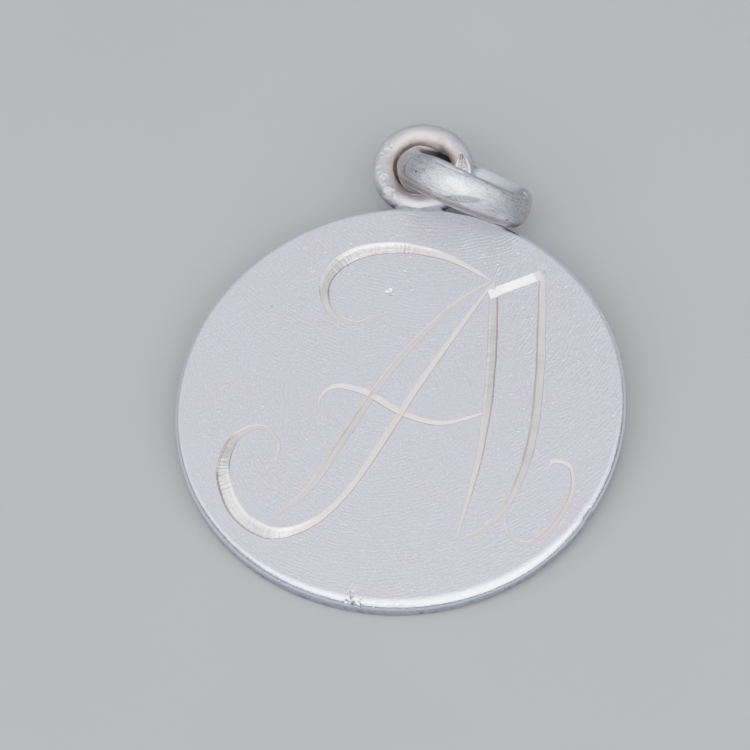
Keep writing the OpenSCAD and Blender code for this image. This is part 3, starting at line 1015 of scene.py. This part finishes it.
def ring_silver(finish, middle, axes, size):
    """Grey rubbed silver of the jump ring: scratches round the band, bright and dark places and tarnish.

    The bright place is partly rubbed metal and partly a painted highlight, the far bar has a painted bluish
    highlight and the lip is lighter towards its top as a painted highlight. Painted shade darkens the right
    end, the ring's inside, the groove, and the near bar's top and lower edges.
    """
    shader = Shader("worn ring silver")
    place, x, y, z = shader.places(middle, axes)
    out = (x * x + y * y) ** 0.5
    turn = shader.maths("ARCTAN2", y, x)
    inside, pit = shader.map("Wear")
    rubbed, dark = shader.map("Rub")
    line = (size.diameter - size.band_thickness) / 2 / MM
    cloud = shader.noise(place, 0.9, 2.0)
    brushed = shader.noise(shader.vector(turn * 5.0, z * 11.0, out * 2.0), 1.0, 3.0, 0.7)
    slant = shader.vector(turn * 26.0 + z * 5.0, z * 10.0 - turn * 5.0, out * 2.0)
    crossed = shader.noise(slant, 1.0, 3.0, 0.7)
    fine = shader.noise(place, 10.0, 2.0, 0.65)
    grain = shader.noise(place, 15.0, 2.0, 0.7)
    right_end = turn.over(-1.15, -0.8) * turn.over(0.9, 0.3)
    near = turn.over(0.9, 0.5)
    lip = inside.over(0.0, -0.12) * z.over(0.75, 0.35)
    groove = inside.over(-0.14, 0.02) * inside.over(0.22, 0.06) * z.over(0.2, -0.1)
    within = (out - line).over(-0.05, -0.30) * x.over(-0.2, -1.0)
    # Painted shade along the near bar's lower edge, which is also made less metallic
    below = z.over(-0.52, -0.80) * near
    above = z.over(0.80, 0.98) * near
    far_inside_shade = (out - line).over(-0.43, -0.53) * y.over(0.3, 1.2)
    tone = shader.layers(
        finish.worn,
        (cloud.over(0.40, 0.62), RING_CLOUD),
        # Painted bluish highlight on the far bar
        ((1 - near) * 0.8, FAR_BAR_HIGHLIGHT),
        # Painted shade at the right end
        (right_end * 0.5, RIGHT_END_SHADE),
        (brushed.over(0.50, 0.64) * near * 0.75, RING_SCRATCH),
        (crossed.over(0.48, 0.38) * near * 0.5, RING_SCRATCH),
        (crossed.over(0.55, 0.66) * near * 0.4, RING_GLINT),
        (grain.over(0.54, 0.66) * near * 0.5, RING_GRAIN),
        # Rubbed place, partly a painted highlight
        (rubbed.over(0.0, 0.5) * (0.25 + 0.75 * crossed.over(0.62, 0.46)), RUBBED_PLACE_HIGHLIGHT),
        (dark.over(0.0, 0.45) * crossed.over(0.26, 0.48) * 0.95, DARK_PLACE),
        # Brown lip, lighter towards its top as a painted highlight
        (lip * (0.8 - 0.5 * z.over(-0.1, 0.4)), RING_LIP),
        # Painted shade on the ring's inside, seen through the eye
        (far_inside_shade * 0.75, FAR_INSIDE_SHADE),
        (below * (0.75 + 0.4 * crossed), LOW_EDGE_SHADE),
        # Painted shade along the near bar's top edge
        (above * 0.35, TOP_EDGE_SHADE),
        # Painted shade in the lower part of the groove
        (groove * (0.4 + 0.6 * crossed.over(0.35, 0.6)) * 0.8, RING_GROOVE_SHADE),
        # Painted shade on the inside of the band
        (within * 0.95, BAND_INSIDE_SHADE),
        (pit.over(0.003, 0.012) * 0.9, RING_PIT),
        (fine.over(0.64, 0.72) * near * 0.5, finish.tarnish),
    )
    rough = 0.27 + 0.16 * brushed + 0.08 * lip + 0.12 * right_end
    relief = shader.bump(brushed + 0.8 * crossed + 0.3 * fine + 0.6 * grain, 0.026 * MM)
    return shader.set(Base_Color=tone, Metallic=1.0 - 0.85 * below, Roughness=rough, Normal=relief)


def floor_paint(colour):
    """Plain pale paper with the faintest mottle."""
    shader = Shader("pale floor")
    raw = shader.node("ShaderNodeTexCoord", None, None, "Object")
    mottle = shader.noise(raw, 60.0, 2.0)
    return shader.set(Base_Color=shader.mix(mottle * 0.06, tuple(colour), FLOOR_MOTTLE), Roughness=0.75)


def eye_surface(size, eye_middle):
    """The eye as a grid over the angle round it and the angle round its wire, in the disc's own frame.

    A point is the centre-line's point plus the wire's radius along the surface's normal. Lumps of two sizes,
    the dents and one tapering gouge push it inwards along that normal. Swells push it outwards on the inner
    side, where the ring passes: each is a bell over both angles. Beside the upper swell the outer side is
    thinned."""
    line, wire = (size.diameter - size.wire) / 2, size.wire / 2
    round_eye, round_wire = once_round(400)[:, None], once_round(104)[None]
    normal = way_out(round_eye, round_wire)
    points = way_out(round_eye, 0) * line + normal * wire
    sink = size.lumps * (0.5 + 0.35 * ripple(points, 11, 2.2 * MM))
    sink += size.lumps * 0.3 * (0.5 + 0.4 * ripple(points, 12, 0.8 * MM))
    for turn, lift, radius, depth in EYE_DENTS:
        a, b = np.radians(turn), np.radians(lift)
        middle = way_out(a, 0) * line + way_out(a, b) * wire
        away = np.linalg.norm(points - middle, axis=-1) * (1 + 0.2 * ripple(points, int(turn), 0.35 * MM))
        sink += 1.2 * depth * MM * dent(away, radius * MM, 0.35)
    for turn, spread, wire_spread, rise in EYE_SWELLS:
        past = apart(round_eye, np.radians(turn))
        sink -= rise * MM * bell(past, spread) * bell(round_wire - np.pi, wire_spread)
    thinned = apart(round_eye, np.radians(EYE_THINNED))
    sink += 0.08 * MM * bell(thinned, 0.8) * step(np.cos(round_wire), 0.2, 1)
    wedge, along = gouge(round_eye, round_wire, line, wire)
    sink += 0.15 * MM * wedge + 0.035 * MM * ripple(points, 13, 0.16 * MM) * np.clip(wedge, 0, 1)
    eye = points - normal * sink[..., None] + np.array([0, eye_middle, 0])
    return eye, {"Wear": as_map(wedge, along / MM)}


def gouge(round_eye, round_wire, line, wire):
    """Share of the full depth of a gouge that widens as it runs down the eye, and the way along it.

    The gouge is a trough, 1 less the cube of the share of its half width, with raised lips. It fades at both
    ends."""
    along = apart(np.radians(19), round_eye) * line
    across = (round_wire - np.radians(90)) * wire + 0.05 * along
    half = 0.07 * MM + 0.36 * np.clip(along, 0, 1.3 * MM)
    inside = step(along, -0.06 * MM, 0.06 * MM) * step(-along, -1.7 * MM, -1.3 * MM)
    q = np.abs(across) / half
    trough = 1 - np.minimum(q, 1) ** 3 - 0.40 * bell(q - 1.15, 0.2)
    return trough * inside, along


def foot_surface(size, disc, eye_middle):
    """The solder foot: a rounded box of a section, carried from inside the rim to inside the eye's wire.

    The section is the superellipse |x/a|^p + |z/b|^p = 1. Its half-width a flares into the rim as a fillet
    does, and its half-height b is least between rim and wire. Ripples make it uneven."""
    radius, line = disc.diameter / 2, (size.diameter - size.wire) / 2
    start = radius - disc.edge - 0.5 * MM
    end = eye_middle - np.sqrt(line**2 - (size.foot_top_width / 2) ** 2)
    part, turn = np.linspace(0, 1, 48)[:, None], once_round(120)[None]
    y = start + (end - start) * part
    gap = np.sqrt(radius**2 - (size.foot_width / 2) ** 2)
    flare = 0.10 * MM * np.exp(-np.clip(y - gap, 0, None) / (0.13 * MM))
    wide = (size.foot_width + (size.foot_top_width - size.foot_width) * part) / 2 - 0.06 * MM + flare
    waist = bell(y - gap - 0.1 * MM, 0.2 * MM)
    high = size.foot_thickness / 2 + 0.03 * MM - 0.05 * MM * waist
    across, up = (np.sign(side) * np.abs(side) ** (2 / FOOT_POWER) for side in (np.cos(turn), np.sin(turn)))
    points = np.stack([wide * across, y + 0 * turn, high * up], -1)
    uneven = 0.035 * MM * ripple(points, 21, 0.8 * MM) + 0.015 * MM * ripple(points, 22, 0.3 * MM)
    return points + unit(points * [1, 0, 1]) * uneven[..., None]


def ring_surface(size):
    """The jump ring as a grid over the angle round it and the angle round its oval band, in its own frame.

    The band's section is the ellipse (t/2 cos v, w/2 sin v) about the centre-line. Lumps, pits and wear push
    it inwards along the ellipse's normal. The wear is a flat within three limits, one along the ring and two
    across the band. Their distances are combined as -log(e^-ka + e^-kb + e^-kc) / k, which rounds the
    corners. A groove runs along the flat's border, and bells over both angles round or thicken the upper
    edge. Two maps hold that distance with the depth of the pits, and how near a point is to the rubbed place,
    partly a painted highlight, and to the dark place below it."""
    line = (size.diameter - size.band_thickness) / 2
    a, b = size.band_thickness / 2, size.band_width / 2
    round_ring, round_band = once_round(440)[:, None], once_round(120)[None]
    outward, axis = way_out(round_ring, 0), np.array([0, 0, 1.0])
    points = outward * (line + a * np.cos(round_band))[..., None] + axis * (b * np.sin(round_band))[..., None]
    slope = unit(np.stack([np.cos(round_band) / a, np.sin(round_band) / b], -1))
    normal = outward * slope[..., :1] + axis * slope[..., 1:]
    sink = size.lumps * (0.5 + 0.35 * ripple(points, 41, 1.8 * MM))
    sink += size.lumps * 0.4 * (0.5 + 0.4 * ripple(points, 42, 0.5 * MM))
    turn, lift = np.degrees(round_ring), apart(np.degrees(round_band), 0, 360)
    along = np.radians(turn - 217) * (line + a) + 0.05 * MM * ripple(points, 44, 0.8 * MM)
    up = np.radians(lift + 44) * (a + b) * 0.55 + 0.03 * MM * ripple(points, 43, 0.9 * MM)
    down = np.radians(66 - lift) * (a + b) * 0.45
    sharp = 2.6 / MM
    inside = -np.log(np.exp(-sharp * along) + np.exp(-sharp * up) + np.exp(-sharp * down)) / sharp
    fade = 1 - step(turn, 258, 300)
    sink += size.groove * fade * step(inside, -0.30 * MM, 0.05 * MM)
    sink += 0.4 * size.groove * fade * bell(inside - 0.02 * MM, 0.08 * MM)
    sink += 0.03 * MM * bell(turn - 220, 28) * step(np.cos(round_band), -0.4, 0.5)
    for spot, spread, height, band_spread, depth in RING_WEAR:
        sink += depth * MM * bell(turn - spot, spread) * bell(lift - height, band_spread)
    pits = 0 * sink
    for spot, height, radius, depth in RING_PITS:
        u, v = np.radians(spot), np.radians(height)
        middle = way_out(u, 0) * (line + a * np.cos(v)) + axis * b * np.sin(v)
        away = np.linalg.norm(points - middle, axis=-1) * (1 + 0.25 * ripple(points, int(spot), 0.25 * MM))
        pits += depth * MM * dent(away, radius * MM, 0.2)
    # Where the rubbed place with its painted highlight lies, and the dark place below it
    rubbed = np.hypot((turn - 281) / 15, (lift - 16 + (turn - 281) * 0.8) / 22)
    dark = np.hypot((turn - 290) / 20, (lift + 20 - (turn - 290) * 1.2) / 17)
    maps = {"Wear": as_map(inside / MM + 3 * (1 - fade), pits / MM), "Rub": as_map(1 - rubbed, 1 - dark)}
    return points - normal * (sink + pits)[..., None], maps


class PENDANT_OT_disc(bpy.types.Operator):
    """Make the engraved disc"""

    bl_idname = "pendant.disc"
    bl_label = "Engraved disc"

    def execute(self, context):
        settings = context.scene.pendant
        size = settings.disc
        middle, axes = disc_axes(size.thickness)
        satin = satin_silver(settings.finish, middle, axes, size)
        cut, bright = cut_silver(settings.finish), flat_cut_silver(settings.finish)
        rows = disc_blank(size)
        blank = make_piece("silver_disc", rows, middle, axes, satin, empty_maps(rows, "Cut", "CutKind"))
        top = middle + axes[:, 2] * size.thickness / 2
        shapes = [(*stroke_cutter(*stroke, size, 7 + i), cut) for i, stroke in enumerate(STROKES)]
        shapes += [(*flat_cutter(size), bright)]
        shapes += [(*pit_cutter(row, size, 60 + i), bright) for i, row in enumerate(FACE_PITS)]
        carve(blank, [
            make_piece(f"cutter_{i}", points, top, axes, finish, maps)
            for i, (points, maps, finish) in enumerate(shapes)
        ])
        shade(blank, np.radians(24))
        settle(blank, "engraved_disc")
        return {"FINISHED"}


class PENDANT_OT_eye(bpy.types.Operator):
    """Make the eye and its solder foot"""

    bl_idname = "pendant.eye"
    bl_label = "Eye and solder foot"

    def execute(self, context):
        settings = context.scene.pendant
        size, disc = settings.eye, settings.disc
        middle, axes = disc_axes(disc.thickness)
        eye_middle = disc.diameter / 2 + size.diameter / 2 - size.sink
        finish = eye_silver(settings.finish, middle, axes, size, eye_middle)
        eye, maps = eye_surface(size, eye_middle)
        foot = foot_surface(size, disc, eye_middle)
        for piece in (
            make_piece("silver_eye", eye, middle, axes, finish, maps, ring_of_rows=True),
            make_piece("solder_foot", foot, middle, axes, finish, empty_maps(foot, "Wear")),
        ):
            shade(piece, np.radians(50))
            settle(piece, "engraved_disc")
        return {"FINISHED"}


class PENDANT_OT_ring(bpy.types.Operator):
    """Make the worn jump ring"""

    bl_idname = "pendant.ring"
    bl_label = "Jump ring"

    def execute(self, context):
        settings = context.scene.pendant
        middle, axes = ring_axes()
        finish = ring_silver(settings.finish, middle, axes, settings.ring)
        ring, maps = ring_surface(settings.ring)
        piece = make_piece("worn_jump_ring", ring, middle, axes, finish, maps, ring_of_rows=True)
        shade(piece, np.radians(60))
        settle(piece, "jump_ring")
        return {"FINISHED"}


def direction(azimuth, elevation):
    """Unit vector from the stage to a place at that azimuth, right of the front, and that elevation."""
    return np.array([
        np.sin(azimuth) * np.cos(elevation), -np.cos(azimuth) * np.cos(elevation), np.sin(elevation)
    ])


def facing(at, target, up=(0, 0, 1)):
    """Matrix of a light or camera at a place that looks at a target, whose own -Z is the way it looks."""
    back = unit(at - target)
    right = unit(np.cross(up, back))
    matrix = np.eye(4)
    matrix[:3, :3] = np.column_stack([right, np.cross(back, right), back])
    matrix[:3, 3] = at
    return Matrix(matrix.tolist())


def softbox(name, azimuth, elevation, distance, size, power, tint):
    """A rectangular area light that faces the stage's middle."""
    light = bpy.data.lights.new(name, "AREA")
    light.shape = "RECTANGLE"
    light.size, light.size_y = size
    light.energy = power
    light.color = tint
    box = bpy.data.objects.new(name, light)
    bpy.context.scene.collection.objects.link(box)
    at = direction(np.radians(azimuth), np.radians(elevation)) * distance
    box.matrix_world = facing(at, np.zeros(3))


class PENDANT_OT_stage(bpy.types.Operator):
    """Make the pale floor, the soft light and the camera"""

    bl_idname = "pendant.stage"
    bl_label = "Stage, light and camera"

    def execute(self, context):
        stage = context.scene.pendant.stage
        self.floor(stage)
        self.lights(stage)
        self.camera(context, stage)
        return {"FINISHED"}

    def floor(self, stage):
        """A wide flat floor at the height that the pendant lies on."""
        corners = np.array([[-1, -1, 0], [1, -1, 0], [1, 1, 0], [-1, 1, 0]]) * FLOOR_REACH
        mesh = bpy.data.meshes.new("floor")
        mesh.from_pydata(corners.tolist(), [], [[0, 1, 2, 3]])
        mesh.materials.append(floor_paint(stage.floor))
        floor = bpy.data.objects.new("floor", mesh)
        bpy.context.scene.collection.objects.link(floor)

    def lights(self, stage):
        """Six softboxes in an evenly lit room."""
        for name, setting, azimuth, elevation, distance, size, tint in SOFTBOXES:
            softbox(name, azimuth, elevation, distance, size, getattr(stage, setting), tint)
        world = bpy.data.worlds.new("room")
        world.use_nodes = True
        room = world.node_tree.nodes["Background"]
        room.inputs["Color"].default_value = (0.93, 0.95, 1.0, 1.0)
        room.inputs["Strength"].default_value = stage.room
        bpy.context.scene.world = world

    def camera(self, context, stage):
        """A camera that stands off the disc's middle by its angles and distance, turned by its roll."""
        middle, _ = disc_axes(context.scene.pendant.disc.thickness)
        away = direction(stage.azimuth, stage.elevation)
        level = np.array([np.cos(stage.azimuth), np.sin(stage.azimuth), 0])
        upright = np.cross(away, level)
        right = level * np.cos(stage.roll) - upright * np.sin(stage.roll)
        up = level * np.sin(stage.roll) + upright * np.cos(stage.roll)
        target = middle + right * stage.aim[0] + up * stage.aim[1]
        data = bpy.data.cameras.new("camera")
        data.sensor_width = 36
        data.lens = stage.lens
        data.clip_start = 0.01
        camera = bpy.data.objects.new("camera", data)
        bpy.context.scene.collection.objects.link(camera)
        camera.matrix_world = facing(target + away * stage.distance, target, up)
        bpy.context.scene.camera = camera


class PENDANT_PT_panel(bpy.types.Panel):
    """The pendant's pieces"""

    bl_idname = "PENDANT_PT_panel"
    bl_label = "Initial pendant"
    bl_space_type = "VIEW_3D"
    bl_region_type = "UI"
    bl_category = "Pendant"

    def draw(self, context):
        for operator in OPERATORS:
            self.layout.operator(operator.bl_idname)


OPERATORS = (PENDANT_OT_disc, PENDANT_OT_eye, PENDANT_OT_ring, PENDANT_OT_stage)
CLASSES = (
    DiscSettings, EyeSettings, RingSettings, FinishSettings, StageSettings, PendantSettings, *OPERATORS,
    PENDANT_PT_panel,
)


def register():
    for each in CLASSES:
        bpy.utils.register_class(each)
    bpy.types.Scene.pendant = PointerProperty(type=PendantSettings)


def unregister():
    del bpy.types.Scene.pendant
    for each in reversed(CLASSES):
        bpy.utils.unregister_class(each)


def main():
    """Makes every piece and the stage."""
    register()
    bpy.ops.pendant.disc()
    bpy.ops.pendant.eye()
    bpy.ops.pendant.ring()
    bpy.ops.pendant.stage()


if __name__ == "__main__":
    main()
